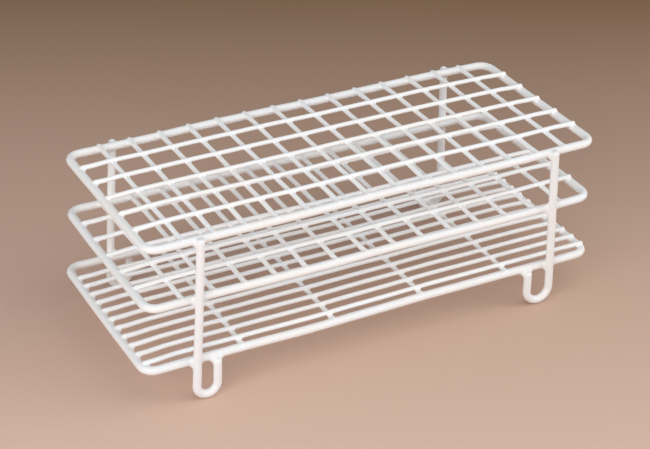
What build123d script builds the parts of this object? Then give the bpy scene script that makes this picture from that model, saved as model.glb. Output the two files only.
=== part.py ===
"""Coated-wire test tube rack.

Ninety square cells, fifteen along the rack and six across it, hold tubes upright. Three flat tiers are
carried one above another by four bent legs. Each tier is a closed frame of heavy wire with thin wires
welded onto it: cross wires first, from front rail to back rail, then wires along the rack on top of them.
The top and middle tiers carry a square grid. The lowest tier is the shelf that the tubes stand on, with
closely spaced rods along its length and only four cross wires under them.

Every wire is a round steel wire together with its coating, and every joint is a weld. A welded wire beds
into the one below it, so the wire that lies on top has a saddle there, and a leg has one at each rail.

Millimetres. +X runs along the rack, +Y to its back and +Z up. The origin is on the table under the centre.
"""

from build123d import *

import math
import os

# Cells
COLUMNS = 15
ROWS = 6
PITCH = 16.1  # thin wire to thin wire, both ways
END_PITCH = 17.4  # end rail to the first cross wire
SIDE_PITCH = 17.7  # front or back rail to the first long wire

# Wires, measured over the coating
RAIL_RADIUS = 2.05
GRID_RADIUS = 1.15

# Each tier's frame, along the middle of its wire
LENGTH = (COLUMNS - 2) * PITCH + 2 * END_PITCH
WIDTH = (ROWS - 2) * PITCH + 2 * SIDE_PITCH
SHELF_LENGTH = LENGTH + 2.6
CORNER_RADIUS = 6.3
SHELF_HEIGHT = 20.0
MIDDLE_HEIGHT = 52.8
TOP_HEIGHT = 83.9

# Thin wires: their height over the middle of the frame, and how far they reach past the middle of a rail
CROSS_RISE = 1.35
LONG_RISE = 2.5
CROSS_REACH = 2.3
LONG_REACH = 1.5
END_ROUND = 0.75

# Shelf: the rods stand closer to the front rail than to the back one
ROD_COUNT = 11
ROD_SPACING = PITCH / 2
ROD_SHIFT = -4.6
SHELF_CROSS_COUNT = 4
SHELF_CROSS_SPACING = 49.3

# Legs: each leans out a little and hooks under into a foot, turned towards the middle of the rack. The right
# feet are bent wider than the left ones.
LEG_INSET = 25.2  # at its top end, from the middle of the top tier's end rail
LEG_LEAN = math.radians(1.45)
LEG_SINK = 1.0  # how far a leg beds into a rail
LEG_TIP = 2.1  # long arm's end over the middle of the top rail
LEFT_FOOT_WIDTH = 10.6  # middle of one arm to middle of the other
RIGHT_FOOT_WIDTH = 13.4
FOOT_TIP = 0.0  # short arm's end over the middle of the shelf rail
LEG_ROUND = 1.5


def finish(piece, label):
    """Name a finished piece, write it out and hand back its solid."""
    piece.part.label = label
    export_step(piece.part, f"parts/{label}.step")
    return piece.part


def build_frame(label, length, height):
    """One tier's frame: a closed loop of heavy wire with rounded corners."""
    x, y = length / 2, WIDTH / 2
    with BuildPart() as frame:
        with BuildLine(Plane.XY.offset(height)) as route:
            FilletPolyline((-x, -y), (x, -y), (x, y), (-x, y), radius=CORNER_RADIUS, close=True)
        with BuildSketch(Plane(route.line @ 0, z_dir=route.line % 0)):
            Circle(RAIL_RADIUS)
        sweep(path=route.line)
    return finish(frame, label)


def build_cross_wire(label, x, height, frame):
    """A thin wire from front rail to back rail, with a saddle over each."""
    with BuildPart() as wire:
        with BuildSketch(Plane((x, 0, height + CROSS_RISE), z_dir=(0, 1, 0))):
            Circle(GRID_RADIUS)
        extrude(amount=WIDTH / 2 + CROSS_REACH, both=True)
        fillet(wire.edges().filter_by(GeomType.CIRCLE), END_ROUND)
        add(frame, mode=Mode.SUBTRACT)
    finish(wire, label)


def build_long_wire(label, length, y, height, frame, crossings):
    """A thin wire from end rail to end rail, with a saddle over each and over every cross wire."""
    with BuildPart() as wire:
        with BuildSketch(Plane((0, y, height + LONG_RISE), z_dir=(1, 0, 0))):
            Circle(GRID_RADIUS)
        extrude(amount=length / 2 + LONG_REACH, both=True)
        fillet(wire.edges().filter_by(GeomType.CIRCLE), END_ROUND)
        add(frame, mode=Mode.SUBTRACT)
        with Locations(*[(x, y, height + CROSS_RISE) for x in crossings]):
            Cylinder(GRID_RADIUS, 4 * GRID_RADIUS, rotation=(90, 0, 0), mode=Mode.SUBTRACT)
    finish(wire, label)


def build_leg(label, side, facing, foot_width, frames):
    """A leg: side is -1 on the left, 1 on the right; facing is -1 at the front, 1 at the back."""
    y = facing * (WIDTH / 2 + 2 * RAIL_RADIUS - LEG_SINK)
    foot_radius = foot_width / 2
    top = TOP_HEIGHT + LEG_TIP
    bend_start = RAIL_RADIUS + foot_radius * (1 + math.sin(LEG_LEAN))
    top_x = side * (LENGTH / 2 - LEG_INSET)
    bend_x = top_x + side * (top - bend_start) * math.tan(LEG_LEAN)
    short_x = bend_x - side * foot_radius * (1 + math.cos(LEG_LEAN))
    with BuildPart() as leg:
        with BuildLine(Plane.XZ.offset(-y)) as route:
            long_arm = Line((top_x, top), (bend_x, bend_start))
            foot = JernArc(long_arm @ 1, long_arm % 1, foot_radius, -side * (180 + math.degrees(LEG_LEAN)))
            Line(foot @ 1, (short_x, SHELF_HEIGHT + FOOT_TIP))
        with BuildSketch(Plane(route.line @ 0, z_dir=route.line % 0)):
            Circle(RAIL_RADIUS)
        sweep(path=route.line)
        fillet(leg.faces().filter_by(GeomType.PLANE).edges(), LEG_ROUND)
        for frame in frames:
            add(frame, mode=Mode.SUBTRACT)
    finish(leg, label)


os.makedirs("parts", exist_ok=True)

# Top and middle tiers: a frame and a square grid
cross_xs = [(column - COLUMNS / 2) * PITCH for column in range(1, COLUMNS)]
long_ys = [(row - ROWS / 2) * PITCH for row in range(1, ROWS)]
frames = []
for tier, height in (("top", TOP_HEIGHT), ("middle", MIDDLE_HEIGHT)):
    frame = build_frame(f"{tier}_frame", LENGTH, height)
    frames.append(frame)
    for number, x in enumerate(cross_xs, start=1):
        build_cross_wire(f"{tier}_cross_wire_{number:02d}", x, height, frame)
    for number, y in enumerate(long_ys, start=1):
        build_long_wire(f"{tier}_long_wire_{number}", LENGTH, y, height, frame, cross_xs)

# Shelf: a frame, four cross wires and the rods on top of them
shelf_cross_middle = (SHELF_CROSS_COUNT - 1) / 2
shelf_cross_xs = [(wire - shelf_cross_middle) * SHELF_CROSS_SPACING for wire in range(SHELF_CROSS_COUNT)]
rod_ys = [ROD_SHIFT + (rod - (ROD_COUNT - 1) / 2) * ROD_SPACING for rod in range(ROD_COUNT)]
frame = build_frame("shelf_frame", SHELF_LENGTH, SHELF_HEIGHT)
frames.append(frame)
for number, x in enumerate(shelf_cross_xs, start=1):
    build_cross_wire(f"shelf_cross_wire_{number}", x, SHELF_HEIGHT, frame)
for number, y in enumerate(rod_ys, start=1):
    build_long_wire(f"shelf_rod_{number:02d}", SHELF_LENGTH, y, SHELF_HEIGHT, frame, shelf_cross_xs)

# Legs
for side, end, foot_width in ((-1, "left", LEFT_FOOT_WIDTH), (1, "right", RIGHT_FOOT_WIDTH)):
    build_leg(f"leg_front_{end}", side, -1, foot_width, frames)
    build_leg(f"leg_rear_{end}", side, 1, foot_width, frames)
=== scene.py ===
"""The looks of the test tube rack: sixty welded wires under one glossy white coating.

Each CAD wire is stood for by a mesh of the same wire, with the webs that the coating draws across its welds.
Lengths are millimetres until make_piece() turns a piece into metres. The textures and the studio are in metres.
"""

import bpy
import numpy as np
from mathutils import Matrix, Vector


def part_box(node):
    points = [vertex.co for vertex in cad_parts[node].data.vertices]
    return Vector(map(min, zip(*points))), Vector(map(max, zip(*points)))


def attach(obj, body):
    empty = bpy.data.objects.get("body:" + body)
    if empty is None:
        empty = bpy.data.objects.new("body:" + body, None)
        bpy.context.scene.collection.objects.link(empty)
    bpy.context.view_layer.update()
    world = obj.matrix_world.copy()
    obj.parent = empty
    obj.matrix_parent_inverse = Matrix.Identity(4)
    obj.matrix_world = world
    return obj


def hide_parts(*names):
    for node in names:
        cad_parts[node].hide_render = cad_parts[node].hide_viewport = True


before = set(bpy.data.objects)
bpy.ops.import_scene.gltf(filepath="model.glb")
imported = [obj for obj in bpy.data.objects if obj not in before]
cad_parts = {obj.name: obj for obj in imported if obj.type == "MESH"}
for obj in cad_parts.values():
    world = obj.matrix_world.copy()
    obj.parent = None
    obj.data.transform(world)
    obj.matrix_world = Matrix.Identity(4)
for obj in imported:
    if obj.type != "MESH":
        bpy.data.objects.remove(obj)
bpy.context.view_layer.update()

MM = 0.001
UP = np.array([0.0, 0.0, 1.0])

# The rack
CORNER_RADIUS = 6.3  # of each tier's frame, along the middle of its wire
LEG_LEAN = np.radians(1.45)  # of a leg's long arm, out towards the end of the rack

# Radius of the hollow that the coating leaves round a weld
GRID_WEB = 1.35  # between two thin wires
RAIL_WEB = 1.8  # between a thin wire and a rail
LEG_WEB = 2.6  # between a leg and a rail
WEB_SPREAD = 0.2  # how far one web's radius differs from another's, as a share
WEB_GAP_SHARE = 0.4  # the most that a web takes of the gap between a wire and the rail beside it

# How far the welds melt the ends of a thin wire back, and how far they draw them down into the rail. The
# first pair is for a wire along the rack, left end and right; the second is for a cross wire, front and back.
END_TRIMS = ((2.0, 0.4), (0.9, 0.0))
END_DIPS = ((0.55, 0.3), (0.4, 0.3))
END_SWELL = 0.1  # extra coating round those ends
END_SPAN = (3.5, 15.0)  # dip and swelling are full as far as the first from the end, gone by the second

# Each frame's own butt weld: its rail, its place along that rail as a share, and how the wire swells there
BUTT_WELDS = {"top": ("front", 0.83), "middle": ("front", 0.30), "shelf": ("rear", 0.55)}
BUTT_SWELL = 0.13
BUTT_REACH = 1.6

# What hand work and dipping leave: waves of a given height and length, and how many of each are mixed
WAVES = ((0.16, 90.0, 7), (0.05, 34.0, 9), (0.016, 8.0, 16))
STEADY_HEIGHT = 10.0  # they fade out below this height, so that the feet stand flat

# Mesh density
THIN_SIDES = 20
HEAVY_SIDES = 32
RING_SPACING = 3.0
FRAME_CROWDING = 1.3  # how much closer a frame's rings stand, for its corners
DOME_RINGS = 6
BEND_RINGS = 28
END_RINGS, FADE_RINGS = 3, 9  # over the two stretches of END_SPAN
SHORT_ARM_RINGS = 4
WEB_STEPS = 52
WEB_ARC_STEPS = 7
NEAREST_STEPS = 4000

# Webs are found by halving. Their edges and their inside lie just under the wires' skins.
SEARCH_REACH = 2.2  # how far along the path the edge of the weld is looked for, in reaches of the ball
SEARCH_DEPTH = 1.2  # how deep under the skin the inside is looked for
EDGE_HALVINGS, ROOT_HALVINGS = 40, 30
EDGE_SINK, ROOT_SINK = 0.03, 0.05

random = np.random.default_rng(15)


# ---------------------------------------------------------------- shells

class Shell:
    """Closed surfaces gathered for one piece, with the exact normal at every vertex."""

    def __init__(self):
        self.points, self.normals, self.webbed, self.faces = [], [], [], []
        self.count = 0

    def add(self, points, normals, closed, webbed):
        """Skin a grid of rings. Rings are rows; each ring is closed, and open ends are capped."""
        rows, columns = points.shape[:2]
        index = self.count + np.arange(rows * columns).reshape(rows, columns)
        across = np.roll(index, -1, axis=1)
        ahead = np.roll(index, -1, axis=0)
        quads = np.stack([index, ahead, np.roll(ahead, -1, axis=1), across], axis=-1)
        quads = (quads if closed else quads[:-1]).reshape(-1, 4)
        faces = quads.tolist()
        vertices, vertex_normals = points.reshape(-1, 3), normals.reshape(-1, 3)
        if not closed:
            tips = np.array([points[0].mean(0), points[-1].mean(0)])
            outward = np.array([tips[0] - points[1].mean(0), tips[1] - points[-2].mean(0)])
            outward /= np.linalg.norm(outward, axis=1, keepdims=True)
            first, last = self.count + rows * columns, self.count + rows * columns + 1
            faces += [[first, a, b] for a, b in zip(index[0], across[0])]
            faces += [[last, b, a] for a, b in zip(index[-1], across[-1])]
            vertices = np.vstack([vertices, tips])
            vertex_normals = np.vstack([vertex_normals, outward])
        a, b, c = (vertices[quads[:, k] - self.count] for k in (0, 1, 2))
        facing = np.einsum("ij,ij->i", np.cross(b - a, c - a), vertex_normals[quads[:, 0] - self.count])
        if np.median(facing) < 0:
            faces = [face[::-1] for face in faces]
        self.points.append(vertices)
        self.normals.append(vertex_normals)
        self.webbed.append(np.full(len(vertices), webbed))
        self.faces += faces
        self.count += len(vertices)


def sweep(shell, points, tangents, binormal, radius, sides, closed=False):
    """A round wire along points; radius is a number or one per ring. Open ends get domes."""
    radius = np.broadcast_to(np.asarray(radius, float), len(points))
    slope = np.zeros(len(points))
    if not closed:
        turn = np.arange(1, DOME_RINGS) / DOME_RINGS * np.pi / 2
        start = points[0] - radius[0] * np.sin(turn[::-1])[:, None] * tangents[0]
        end = points[-1] + radius[-1] * np.sin(turn)[:, None] * tangents[-1]
        slope = np.concatenate([-turn[::-1], slope, turn])
        points = np.vstack([start, points, end])
        tangents = np.vstack([np.tile(tangents[0], (len(turn), 1)), tangents,
                              np.tile(tangents[-1], (len(turn), 1))])
        radius = np.concatenate([radius[0] * np.cos(turn[::-1]), radius, radius[-1] * np.cos(turn)])
    sideways = np.cross(tangents, binormal)
    angle = np.linspace(0, 2 * np.pi, sides, endpoint=False)
    spokes = (np.sin(angle)[None, :, None] * sideways[:, None, :]
              + np.cos(angle)[None, :, None] * np.asarray(binormal)[None, None, :])
    rings = points[:, None, :] + radius[:, None, None] * spokes
    normals = (np.cos(slope)[:, None, None] * spokes
               + np.sin(slope)[:, None, None] * tangents[:, None, :])
    shell.add(rings, normals, closed, 0.0)


# ---------------------------------------------------------------- wires, measured from the frame

def extent(node):
    """Lowest and highest corners of a CAD node, in millimetres."""
    low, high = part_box(node)
    return np.array(low) / MM, np.array(high) / MM


def end_share(away):
    """How strongly the end of a thin wire is swollen and dipped, this far from it."""
    full, gone = END_SPAN
    share = np.clip((gone - away) / (gone - full), 0, 1)
    return share * share * (3 - 2 * share)


class ThinWire:
    """A wire along x (way 0) or y (way 1), with a domed end each way."""

    def __init__(self, node, way):
        low, high = extent(node)
        self.node = node
        self.radius = (high[1 - way] - low[1 - way]) / 2
        self.end_radius = self.radius + END_SWELL
        self.way = np.eye(3)[way]
        middle = (low + high) / 2
        middle[2] = high[2] - self.radius
        reach = (high[way] - low[way]) / 2 - self.radius
        near_trim, far_trim = END_TRIMS[way]
        self.near_dip, self.far_dip = END_DIPS[way]
        self.first = middle - (reach - near_trim) * self.way
        self.length = 2 * reach - near_trim - far_trim
        last = self.first + self.length * self.way
        self.ends = [(self.first - self.near_dip * UP, self.way), (last - self.far_dip * UP, -self.way)]

    def dip(self, along):
        return self.near_dip * end_share(along) + self.far_dip * end_share(self.length - along)

    def place(self, along):
        """Points on the middle of the wire, and the level direction away from it."""
        along = np.asarray(along, float)[..., None]
        sideways = np.broadcast_to(np.cross(self.way, UP), along.shape[:-1] + (3,))
        return self.first + along * self.way - self.dip(along) * UP, sideways

    def build(self, shell):
        full, gone = END_SPAN
        end = np.concatenate([np.linspace(0, full, END_RINGS)[:-1], np.linspace(full, gone, FADE_RINGS)])
        rings = max(2, round(self.length / RING_SPACING) + 1)
        between = np.linspace(gone, self.length - gone, rings)[1:-1]
        along = np.concatenate([end, between, self.length - end[::-1]])
        points, _ = self.place(along)
        radius = self.radius + END_SWELL * (end_share(along) + end_share(self.length - along))
        sweep(shell, points, np.tile(self.way, (len(along), 1)), UP, radius, THIN_SIDES)


class Loop:
    """A tier's frame. Stations run along it from the start of the front rail, and then to the right."""

    def __init__(self, node):
        low, high = extent(node)
        self.node = node
        self.radius = (high[2] - low[2]) / 2
        self.middle = (low + high) / 2
        self.half = (high - low)[:2] / 2 - self.radius
        straight = 2 * (self.half - CORNER_RADIUS)
        self.runs = [straight[0], straight[1]] * 2
        self.arc = CORNER_RADIUS * np.pi / 2
        self.length = sum(self.runs) + 4 * self.arc

    def place(self, along):
        """Points on the middle of the wire, and the level direction out of the loop."""
        along = np.asarray(along, float) % self.length
        points = np.zeros(along.shape + (3,))
        outward = np.zeros(along.shape + (3,))
        start = 0.0
        corner = self.half - CORNER_RADIUS
        for side, run in enumerate(self.runs):
            heading = side * np.pi / 2
            way = np.array([np.cos(heading), np.sin(heading), 0.0])
            out = np.array([np.sin(heading), -np.cos(heading), 0.0])
            offset = along - start
            on_run = (offset >= 0) & (offset < run)
            depth = self.half[1] if side % 2 == 0 else self.half[0]
            points[on_run] = out * depth + way * (offset[on_run, None] - run / 2)
            outward[on_run] = out
            on_arc = (offset >= run) & (offset < run + self.arc)
            turn = (offset[on_arc, None] - run) / CORNER_RADIUS
            spoke = out * np.cos(turn) + way * np.sin(turn)
            hub = (out + way) * np.array([corner[0], corner[1], 0.0])
            points[on_arc] = hub + CORNER_RADIUS * spoke
            outward[on_arc] = spoke
            start += run + self.arc
        return points + self.middle, outward

    def nearest(self, target):
        """The station whose point is nearest to target."""
        along = np.linspace(0, self.length, NEAREST_STEPS, endpoint=False)
        points, _ = self.place(along)
        return along[np.argmin(np.linalg.norm(points - target, axis=1))]

    def build(self, shell, weld):
        """The frame's wire, swollen a little at the station of its butt weld."""
        rings = round(self.length / RING_SPACING * FRAME_CROWDING)
        along = np.linspace(0, self.length, rings, endpoint=False)
        points, outward = self.place(along)
        tangents = np.cross(UP, outward)
        swell = BUTT_SWELL * np.exp(-((along - weld) / BUTT_REACH) ** 2)
        sweep(shell, points, tangents, UP, self.radius + swell, HEAVY_SIDES, closed=True)


# ---------------------------------------------------------------- webs of coating

def to_ray(points, end, way):
    """Vectors to points from a ray that starts at end and runs along way."""
    along = np.maximum((points - end) @ way, 0.0)
    return points - end - along[..., None] * way


def bisect(low, high, holds, halvings):
    """Close in on where holds() turns false between low and high, in every place at once."""
    for _ in range(halvings):
        middle = (low + high) / 2
        true = holds(middle)
        low, high = np.where(true, middle, low), np.where(true, high, middle)
    return low, high


def add_web(shell, path, station, end, way, wire_radius, ball):
    """The hollow that a ball of this radius leaves as it rolls round the weld of a straight wire to path.

    The weld is near station on the path. The straight wire is a ray with a domed end, which starts at end and
    runs along way. The ball touches both wires, so its centre traces one closed curve, found here as the edge
    of the area in which the ball would touch the path and cut into the wire.
    """
    ball *= 1 + WEB_SPREAD * random.uniform(-1, 1)
    far, reach = path.radius + ball, wire_radius + ball
    weld, sideways = path.place(station)
    toward = -to_ray(weld, end, way)
    aim = np.arctan2(toward @ sideways, toward @ UP)
    step = np.linspace(0, 2 * np.pi, WEB_STEPS, endpoint=False)

    def centre(share):
        """The ball's centre this share of the way out from the weld, and the direction to it from the path."""
        point, sideways = path.place(station + share * SEARCH_REACH * reach * np.sin(step))
        turn = aim + share * np.pi * np.cos(step)
        spoke = np.sin(turn)[..., None] * sideways + np.cos(turn)[..., None] * UP
        return point + far * spoke, spoke

    def ball_cuts_wire(share):
        return np.linalg.norm(to_ray(centre(share)[0], end, way), axis=1) < reach

    edge, _ = bisect(np.zeros(WEB_STEPS), np.ones(WEB_STEPS), ball_cuts_wire, EDGE_HALVINGS)
    hub, from_path = centre(edge)
    from_wire = to_ray(hub, end, way)
    from_wire /= np.linalg.norm(from_wire, axis=1, keepdims=True)

    # The skin: from wire to wire along the ball
    gap = np.arccos(np.clip(np.sum(from_path * from_wire, axis=1), -1, 1))[:, None, None]
    share = np.linspace(0, 1, WEB_ARC_STEPS + 1)[None, :, None]
    spokes = (np.sin((1 - share) * gap) * from_path[:, None]
              + np.sin(share * gap) * from_wire[:, None]) / np.sin(gap)
    sunk = np.zeros(WEB_ARC_STEPS + 1)
    sunk[[0, -1]] = EDGE_SINK
    skin = hub[:, None] - (ball + sunk)[None, :, None] * spokes

    # The root: one more row of points, inside the wires, which closes the web
    inward = from_path + from_wire
    inward /= np.linalg.norm(inward, axis=1, keepdims=True)
    base = hub - far * from_path
    tangent = np.cross(UP, sideways)

    def outside_both(depth):
        root = hub - depth[:, None] * inward
        over_wire = np.linalg.norm(to_ray(root, end, way), axis=1) - wire_radius
        across = (root - base) - np.sum((root - base) * tangent, axis=1, keepdims=True) * tangent
        over_path = np.linalg.norm(across, axis=1) - path.radius
        return np.maximum(over_wire, over_path) > -ROOT_SINK

    shallow, deep = np.full(WEB_STEPS, ball), np.full(WEB_STEPS, ball + SEARCH_DEPTH)
    _, depth = bisect(shallow, deep, outside_both, ROOT_HALVINGS)
    root = hub - depth[:, None] * inward
    rings = np.concatenate([skin, root[:, None]], axis=1)
    normals = np.concatenate([spokes, inward[:, None]], axis=1)
    shell.add(rings, normals, True, 1.0)


# ---------------------------------------------------------------- from shell to piece

def make_waves(height, length, count):
    """Directions, displacements and phases of waves that together reach about this height."""
    way = random.normal(size=(count, 3))
    way /= np.linalg.norm(way, axis=1, keepdims=True)
    lean = random.normal(size=(count, 3)) * height / np.sqrt(count)
    phase = random.uniform(0, 2 * np.pi, count)
    return way * 2 * np.pi / length, lean, phase


waver_waves = [make_waves(*wave) for wave in WAVES]


def waver(points):
    """How far hand welding and a dipped coating leave each point from its ideal place."""
    shift = np.zeros_like(points)
    for ways, leans, phases in waver_waves:
        shift += np.sin(points @ ways.T + phases) @ leans
    rise = np.clip(points[:, 2:] / STEADY_HEIGHT, 0, 1)
    return shift * rise * rise * (3 - 2 * rise)


def make_piece(node, shell, material):
    """Turn a shell into the piece that stands for a CAD node."""
    points = np.vstack(shell.points)
    points += waver(points)
    mesh = bpy.data.meshes.new(node)
    mesh.from_pydata((points * MM).tolist(), [], shell.faces)
    webbed = mesh.attributes.new("webbed", "FLOAT", "POINT")
    webbed.data.foreach_set("value", np.concatenate(shell.webbed).astype(np.float32))
    mesh.shade_smooth()
    mesh.normals_split_custom_set_from_vertices(np.vstack(shell.normals).tolist())
    mesh.materials.append(material)
    piece = bpy.data.objects.new(node + "_coated", mesh)
    bpy.context.scene.collection.objects.link(piece)
    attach(piece, "root")
    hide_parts(node)


# ---------------------------------------------------------------- materials

class Nodes:
    """Short calls for building a material's node tree."""

    def __init__(self, name):
        self.material = bpy.data.materials.new(name)
        self.material.use_nodes = True
        self.tree = self.material.node_tree
        self.shader = self.tree.nodes["Principled BSDF"]

    def add(self, kind, settings=None, **inputs):
        made = self.tree.nodes.new(kind)
        for key, value in (settings or {}).items():
            setattr(made, key, value)
        for key, value in inputs.items():
            self.put(made.inputs[key.replace("_", " ")], value)
        return made

    def put(self, socket, value):
        if isinstance(value, bpy.types.NodeSocket):
            self.tree.links.new(value, socket)
        else:
            socket.default_value = value

    def finish(self, **inputs):
        """Set the shader's inputs and hand back the material."""
        for key, value in inputs.items():
            self.put(self.shader.inputs[key.replace("_", " ")], value)
        return self.material

    def noise(self, place, scale, detail=2.0):
        return self.add("ShaderNodeTexNoise", Vector=place, Scale=scale, Detail=detail).outputs["Fac"]

    def span(self, value, low, high, out_low=0.0, out_high=1.0):
        """Value's share of the way from low to high, held within them, as a number from out_low to out_high."""
        made = self.add("ShaderNodeMapRange", Value=value, From_Min=low, From_Max=high, To_Min=out_low,
                        To_Max=out_high)
        return made.outputs["Result"]

    def maths(self, operation, a, b=0.0):
        made = self.add("ShaderNodeMath", {"operation": operation})
        self.put(made.inputs[0], a)
        self.put(made.inputs[1], b)
        return made.outputs[0]

    def mix(self, share, a, b):
        """A colour this share of the way from a to b. A mix node's colours are its inputs 6 and 7."""
        made = self.add("ShaderNodeMix", {"data_type": "RGBA"})
        self.put(made.inputs[0], share)
        self.put(made.inputs[6], a)
        self.put(made.inputs[7], b)
        return made.outputs[2]


# Textures: how many of each to the metre
CLOUDS = 28.0
GLOSS_PATCHES = 60.0
PINHOLE_CELLS = 75.0
SWELLS = 140.0
ORANGE_PEEL = 650.0
SCUFFS = 900.0
PAPER_GRAIN = 1800.0

PINHOLE_SHARE = 0.2  # of the cells that have one
PINHOLE_RADIUS = (0.020, 0.034)  # to where it starts and stops fading, as a share of a cell
SCUFF_HEIGHT = (0.0002, 0.0016)  # metres up to where scuffs start and stop fading

# Painted shade for the weld hollows: the darker, warmer white that the webs are tinted towards
WEB_CREASE_SHADE = (0.84, 0.815, 0.775, 1)
PINHOLE_COLOR = (0.30, 0.24, 0.18, 1)
SCUFF_COLOR = (0.42, 0.38, 0.34, 1)
# Painted light falloff on the floor: the lit colour near the rack, the painted shade far from it
FLOOR_NEAR_LIT, FLOOR_FAR_SHADED = (0.74, 0.513, 0.412, 1), (0.20, 0.111, 0.053, 1)
FLOOR_WAY = (0.48, 0.88)  # level direction in which the painted light falloff darkens the floor
FLOOR_FALLOFF_SPAN = (-0.16, 0.44)  # metres that way at which it is fully near and fully far


def coating(name, white, roughness):
    """Glossy white epoxy: faint clouding, orange peel, a few pinholes, scuffs where the feet stand, and painted
    shade in the webs of the welds.
    """
    cool = (white, white + 0.01, white + 0.02, 1)
    warm = (white + 0.01, white, white - 0.02, 1)
    n = Nodes(name)
    place = n.add("ShaderNodeNewGeometry").outputs["Position"]
    height = n.add("ShaderNodeSeparateXYZ", Vector=place).outputs["Z"]
    cloud = n.span(n.noise(place, CLOUDS, 3.0), 0.35, 0.65)
    color = n.mix(cloud, cool, warm)
    webbed = n.add("ShaderNodeAttribute", {"attribute_name": "webbed"}).outputs["Fac"]
    # Painted crease shade: the webs in the weld hollows are tinted a little darker and warmer.
    color = n.mix(n.maths("MULTIPLY", webbed, 0.1), color, WEB_CREASE_SHADE)

    cells = n.add("ShaderNodeTexVoronoi", Vector=place, Scale=PINHOLE_CELLS)
    dot = n.span(cells.outputs["Distance"], *PINHOLE_RADIUS, 1.0, 0.0)
    lot = n.add("ShaderNodeSeparateColor", Color=cells.outputs["Color"]).outputs[0]
    pinhole = n.maths("MULTIPLY", dot, n.maths("GREATER_THAN", lot, 1 - PINHOLE_SHARE))
    color = n.mix(n.maths("MULTIPLY", pinhole, 0.6), color, PINHOLE_COLOR)

    low_down = n.span(height, *SCUFF_HEIGHT, 1.0, 0.0)
    scuff = n.maths("MULTIPLY", low_down, n.span(n.noise(place, SCUFFS, 4.0), 0.45, 0.62))
    color = n.mix(n.maths("MULTIPLY", scuff, 0.5), color, SCUFF_COLOR)

    rough = n.span(n.noise(place, GLOSS_PATCHES, 3.0), 0.3, 0.7, roughness - 0.06, roughness + 0.08)
    rough = n.maths("ADD", rough, n.maths("MULTIPLY", scuff, 0.3))

    peel = n.add("ShaderNodeBump", Height=n.noise(place, ORANGE_PEEL), Strength=0.35, Distance=0.00012)
    swells = n.add("ShaderNodeBump", Height=n.noise(place, SWELLS, 1.0), Strength=0.5, Distance=0.0003,
                   Normal=peel.outputs[0])
    pits = n.add("ShaderNodeBump", {"invert": True}, Height=pinhole, Strength=0.8, Distance=0.0001,
                 Normal=swells.outputs[0])
    return n.finish(Base_Color=color, Roughness=rough, IOR=1.5, Coat_Weight=0.08, Coat_Roughness=0.12,
                    Normal=pits.outputs[0])


def backdrop():
    """Pale warm paper with painted light falloff: darker away from the camera."""
    n = Nodes("backdrop_paper")
    place = n.add("ShaderNodeNewGeometry").outputs["Position"]
    axes = n.add("ShaderNodeSeparateXYZ", Vector=place)
    away = n.maths("ADD", n.maths("MULTIPLY", axes.outputs["X"], FLOOR_WAY[0]),
                   n.maths("MULTIPLY", axes.outputs["Y"], FLOOR_WAY[1]))
    uneven = n.span(n.noise(place, 3.0), 0.0, 1.0, -0.04, 0.04)
    # Painted light falloff: the floor's colour runs from lit near to shaded far.
    shade = n.maths("ADD", n.span(away, *FLOOR_FALLOFF_SPAN), uneven)
    color = n.mix(shade, FLOOR_NEAR_LIT, FLOOR_FAR_SHADED)
    grain = n.add("ShaderNodeBump", Height=n.noise(place, PAPER_GRAIN), Strength=0.08, Distance=0.0002)
    return n.finish(Base_Color=color, Roughness=0.85, Specular_IOR_Level=0.15, Normal=grain.outputs[0])


# ---------------------------------------------------------------- the rack

# One white coating in three copies: their whites differ only as painted light and shade, lighter for the thin
# wires and darker for the rails and legs, to even out how brightly each is lit.
rail_coat = coating("white_epoxy_rail", 0.81, 0.50)
thin_coat = coating("white_epoxy_thin_wire", 0.85, 0.48)
leg_coat = coating("white_epoxy_leg", 0.80, 0.52)

nodes = sorted(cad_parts)
loops = {tier: Loop(tier + "_frame") for tier in ("top", "middle", "shelf")}


def build_frame(tier):
    loop = loops[tier]
    rail, share = BUTT_WELDS[tier]
    side = -1 if rail == "front" else 1
    weld = loop.middle + np.array([(2 * share - 1) * loop.half[0], side * loop.half[1], 0.0])
    shell = Shell()
    loop.build(shell, loop.nearest(weld))
    make_piece(loop.node, shell, rail_coat)


def build_cross_wire(wire, loop):
    """A thin wire from front rail to back rail, webbed to both."""
    shell = Shell()
    wire.build(shell)
    for end, way in wire.ends:
        add_web(shell, loop, loop.nearest(end), end, way, wire.end_radius, RAIL_WEB)
    make_piece(wire.node, shell, thin_coat)


def build_long_wire(wire, loop, crossings):
    """A thin wire from end rail to end rail, webbed to both and to every cross wire under it."""
    shell = Shell()
    wire.build(shell)
    gap = loop.half[1] - abs(wire.first[1] - loop.middle[1]) - loop.radius - wire.end_radius
    for end, way in wire.ends:
        web = min(RAIL_WEB, WEB_GAP_SHARE * gap)
        add_web(shell, loop, loop.nearest(end), end, way, wire.end_radius, web)
    for under in crossings:
        station = under.first[0] - wire.first[0]
        dip = under.dip(wire.first[1] - under.first[1])
        add_web(shell, wire, station, under.first - dip * UP, under.way, under.radius, GRID_WEB)
    make_piece(wire.node, shell, thin_coat)


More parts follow.
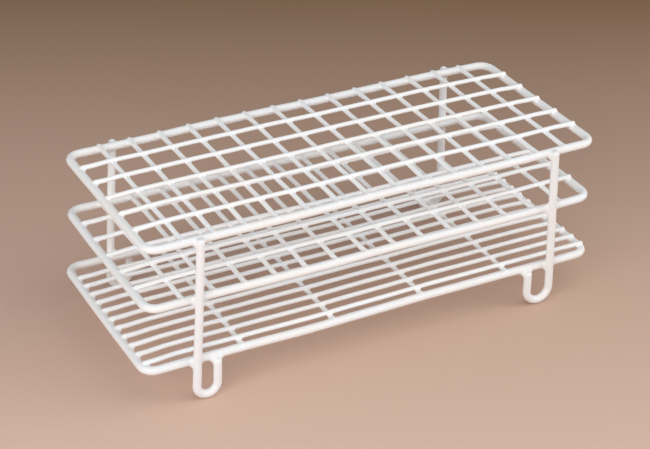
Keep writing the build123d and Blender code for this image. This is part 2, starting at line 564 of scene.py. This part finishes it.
def build_leg(node):
    """A leg: down past the three rails, round the foot, and up to the middle of the shelf rail."""
    low, high = extent(node)
    radius = (high[1] - low[1]) / 2
    foot_radius = (high[0] - low[0]) / 2 - radius
    hub = (low + high) / 2
    hub[2] = low[2] + radius + foot_radius
    side, facing = np.sign(hub[:2])
    down = np.array([side * np.sin(LEG_LEAN), 0.0, -np.cos(LEG_LEAN)])

    bend = np.linspace(-LEG_LEAN, np.pi, BEND_RINGS)
    level = np.zeros(BEND_RINGS)
    foot = hub + foot_radius * np.stack([side * np.cos(bend), level, -np.sin(bend)], axis=1)
    foot_tangents = np.stack([-side * np.sin(bend), level, -np.cos(bend)], axis=1)
    length = (high[2] - radius - foot[0][2]) / np.cos(LEG_LEAN)
    above = np.linspace(length, 0, round(length / RING_SPACING) + 1)[:-1]
    long_arm = foot[0] - above[:, None] * down
    rise = loops["shelf"].middle[2] - radius - hub[2]
    short_arm = foot[-1] + np.linspace(0, rise, SHORT_ARM_RINGS)[1:, None] * UP
    points = np.vstack([long_arm, foot, short_arm])
    tangents = np.vstack([np.tile(down, (len(long_arm), 1)), foot_tangents, np.tile(UP, (len(short_arm), 1))])

    shell = Shell()
    sweep(shell, points, tangents, np.array([0.0, facing, 0.0]), radius, HEAVY_SIDES)
    for loop in loops.values():
        at = points[0] + (points[0][2] - loop.middle[2]) / np.cos(LEG_LEAN) * down
        add_web(shell, loop, loop.nearest(at), points[0], down, radius, LEG_WEB)
    shelf = loops["shelf"]
    add_web(shell, shelf, shelf.nearest(points[-1]), points[-1], -UP, radius, LEG_WEB)
    make_piece(node, shell, leg_coat)


for tier, loop in loops.items():
    build_frame(tier)
    crossings = [ThinWire(node, 1) for node in nodes if node.startswith(tier + "_cross_wire_")]
    for wire in crossings:
        build_cross_wire(wire, loop)
    for node in nodes:
        if node.startswith((tier + "_long_wire_", tier + "_rod_")):
            build_long_wire(ThinWire(node, 0), loop, crossings)

for node in nodes:
    if node.startswith("leg_"):
        build_leg(node)


# ---------------------------------------------------------------- studio

FLOOR_REACH = 4.0
LIT_POINT = (0, 0, 0.04)

CAMERA_PLACE = (-0.4161, -0.7390, 0.5382)
CAMERA_ANGLES = (62.124, -21.062, -1.197)  # heading from +X, pitch and roll, in degrees
CAMERA_LENS, CAMERA_SENSOR = 106.2, 36.0  # both in millimetres
CAMERA_SHIFT = {"shift_x": 0.0486, "shift_y": -0.4866}


def make_floor():
    reach = FLOOR_REACH
    corners = [(-reach, -reach, 0), (reach, -reach, 0), (reach, reach, 0), (-reach, reach, 0)]
    mesh = bpy.data.meshes.new("floor")
    mesh.from_pydata(corners, [], [(0, 1, 2, 3)])
    mesh.materials.append(backdrop())
    floor = bpy.data.objects.new("floor", mesh)
    bpy.context.scene.collection.objects.link(floor)


def softbox(name, place, size, power, color):
    light = bpy.data.lights.new(name, "AREA")
    light.shape = "RECTANGLE"
    light.size, light.size_y = size
    light.energy = power
    light.color = color
    lamp = bpy.data.objects.new(name, light)
    lamp.location = place
    away = np.array(place) - np.array(LIT_POINT)
    lamp.rotation_euler = Vector(away).to_track_quat("Z", "Y").to_euler()
    bpy.context.scene.collection.objects.link(lamp)


def make_light():
    """A warm softbox overhead, a cool one each side, and a pale cool world."""
    softbox("top", place=(0.3, -0.6, 1.05), size=(1.2, 1.2), power=4.1, color=(1.0, 0.99, 0.98))
    softbox("left", place=(-1.1, -0.8, 0.5), size=(1.3, 1.0), power=14.0, color=(0.97, 0.985, 1.0))
    softbox("right", place=(1.2, -0.6, 0.5), size=(1.0, 1.0), power=8.0, color=(0.97, 0.985, 1.0))
    world = bpy.data.worlds.new("studio")
    world.use_nodes = True
    sky = world.node_tree.nodes["Background"]
    sky.inputs["Color"].default_value = (0.95, 0.975, 1.0, 1)
    sky.inputs["Strength"].default_value = 0.41
    bpy.context.scene.world = world
    bpy.context.scene.view_settings.view_transform = "Standard"


def make_camera():
    """A long lens with its front raised, as on a view camera, so the uprights converge only a little."""
    heading, pitch, roll = np.radians(CAMERA_ANGLES)
    forward = np.array([np.cos(pitch) * np.cos(heading), np.cos(pitch) * np.sin(heading), np.sin(pitch)])
    level = np.cross(forward, UP)
    level /= np.linalg.norm(level)
    right = np.cos(roll) * level + np.sin(roll) * np.cross(forward, level)
    up = np.cross(right, forward)
    lens = bpy.data.cameras.new("camera")
    lens.sensor_width = CAMERA_SENSOR
    lens.lens = CAMERA_LENS
    camera = bpy.data.objects.new("camera", lens)
    camera.matrix_world = Matrix(np.column_stack([right, up, -forward]).tolist()).to_4x4()
    camera.location = CAMERA_PLACE
    bpy.context.scene.collection.objects.link(camera)
    bpy.context.scene.camera = camera
    # The shift belongs to this viewpoint alone, so it goes when the camera is moved to look from elsewhere.
    for channel, shift in CAMERA_SHIFT.items():
        driver = lens.driver_add(channel).driver
        driver.type = "SCRIPTED"
        height = driver.variables.new()
        height.name = "height"
        height.targets[0].id = camera
        height.targets[0].data_path = "location[2]"
        driver.expression = f"{shift} if abs(height - {CAMERA_PLACE[2]}) < 0.0001 else 0.0"


make_floor()
make_light()
make_camera()
